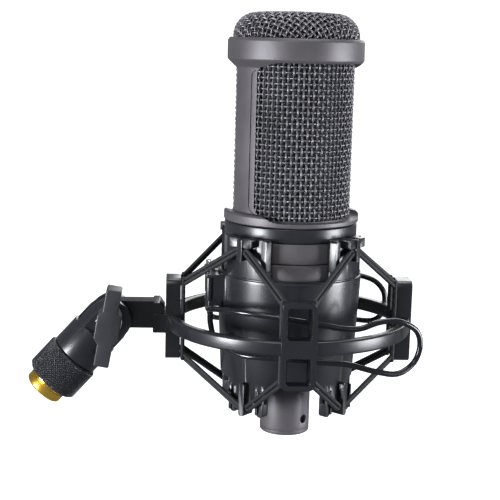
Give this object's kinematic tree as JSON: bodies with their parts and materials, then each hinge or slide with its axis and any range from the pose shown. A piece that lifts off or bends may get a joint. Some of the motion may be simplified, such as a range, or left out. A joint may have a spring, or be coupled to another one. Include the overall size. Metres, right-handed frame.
{
  "type": "condenser microphone",
  "caption": "Side-address condenser microphone held by a sprung two-part clamp in an elastic shock mount, on a swivelling stand adapter with a brass thread insert.",
  "frame": {"origin": "centre of the stand thread insert's end face, where the stand's stud enters", "axes": "+Z along the microphone's axis from its connector end to its dome; the microphone's axis lies at +X from the stand thread, in the plane Y=0; +Y towards the side away from the tee handle"},
  "size_m": [0.1507, 0.0958, 0.1637],
  "materials": {
    "housing": "fine powder coat, charcoal grey",
    "band": "smooth satin black",
    "mesh": "woven wire, dark grey",
    "plastic": "moulded black, fine satin texture",
    "wire": "glossy black dipped wire",
    "elastic": "woven black elastic",
    "handle": "moulded black",
    "brass": "bright machined",
    "steel": "bright",
    "board": "solder resist",
    "film": "metallised film",
    "insulator": "moulded black"
  },
  "bodies": {
    "stand_adapter": {"adapter_body": "plastic", "knurled_socket": "plastic", "thread_insert": "brass", "pivot_washer": "steel", "pivot_nut": "steel"},
    "tee_screw": {"tee_handle": "handle", "pivot_bolt": "steel"},
    "ring": {"suspension_ring": "plastic", "upper_post_front": "plastic", "upper_post_right": "plastic", "upper_post_rear": "plastic", "upper_post_left": "plastic", "lower_post_front": "plastic", "lower_post_right": "plastic", "lower_post_rear": "plastic", "lower_post_left": "plastic", "upper_cord_1": "elastic", "upper_cord_2": "elastic", "upper_cord_3": "elastic", "upper_cord_4": "elastic", "upper_cord_5": "elastic", "upper_cord_6": "elastic", "upper_cord_7": "elastic", "upper_cord_8": "elastic", "lower_cord_1": "elastic", "lower_cord_2": "elastic", "lower_cord_3": "elastic", "lower_cord_4": "elastic", "lower_cord_5": "elastic", "lower_cord_6": "elastic", "lower_cord_7": "elastic", "lower_cord_8": "elastic"},
    "cradle_pin": {"hinge_pin": "steel", "clamp_spring": "steel"},
    "front_clamp": {"front_clamp_half": "plastic", "rear_handle_wire": "wire"},
    "rear_clamp": {"rear_clamp_half": "plastic", "front_handle_wire": "wire"},
    "microphone": {"grille_frame": "housing", "dome_mesh": "mesh", "side_mesh": "mesh", "body_band": "band", "upper_case": "housing", "lower_case": "housing", "connector_barrel": "housing", "connector_insert": "insulator", "connector_pin_1": "steel", "connector_pin_2": "steel", "connector_pin_3": "steel", "capsule_deck": "plastic", "capsule_saddle": "plastic", "capsule_ring": "steel", "capsule_diaphragm": "film", "capsule_backplate": "brass", "circuit_board": "board", "coupling_capacitor": "film", "chassis_rail_left": "steel", "chassis_rail_right": "steel"}
  },
  "joints": [
    {"name": "swivel", "type": "hinge", "parent": "stand_adapter", "child": "ring", "pos_m": [0.02636, 0, 0.02928], "axis": [0, 1, 0], "range_deg": [-143, 47]},
    {"name": "tee_turn", "type": "hinge", "parent": "stand_adapter", "child": "tee_screw", "pos_m": [0.02636, 0, 0.02928], "axis": [0, 1, 0], "continuous": true},
    {"name": "float", "type": "slide", "parent": "ring", "child": "cradle_pin", "axis": [0, 0, 1], "range_m": [-0.002, 0.002], "stiffness_N_per_m": 3000, "springref_m": 0.0018, "deforming": ["upper_cord_1", "upper_cord_2", "upper_cord_3", "upper_cord_4", "upper_cord_5", "upper_cord_6", "upper_cord_7", "upper_cord_8", "lower_cord_1", "lower_cord_2", "lower_cord_3", "lower_cord_4", "lower_cord_5", "lower_cord_6", "lower_cord_7", "lower_cord_8"]},
    {"name": "front_clamp_open", "type": "hinge", "parent": "cradle_pin", "child": "front_clamp", "pos_m": [0.06556, 0, 0.04348], "axis": [0, 0, -1], "range_deg": [0, 3], "stiffness_Nm_per_rad": 0.5, "springref_deg": -28.65, "deforming": ["upper_cord_3", "upper_cord_4", "upper_cord_5", "upper_cord_6", "lower_cord_3", "lower_cord_4", "lower_cord_5", "lower_cord_6"]},
    {"name": "rear_clamp_open", "type": "hinge", "parent": "cradle_pin", "child": "rear_clamp", "pos_m": [0.06556, 0, 0.04348], "axis": [0, 0, 1], "range_deg": [0, 3], "stiffness_Nm_per_rad": 0.5, "springref_deg": -28.65, "deforming": ["upper_cord_1", "upper_cord_2", "upper_cord_7", "upper_cord_8", "lower_cord_1", "lower_cord_2", "lower_cord_7", "lower_cord_8"]},
    {"name": "microphone_lift", "type": "slide", "parent": "cradle_pin", "child": "microphone", "axis": [0, 0, 1], "range_m": [0, 0.08]}
  ],
  "couplings": [
    {"joint": "rear_clamp_open", "follows": "front_clamp_open", "ratio": 1}
  ]
}
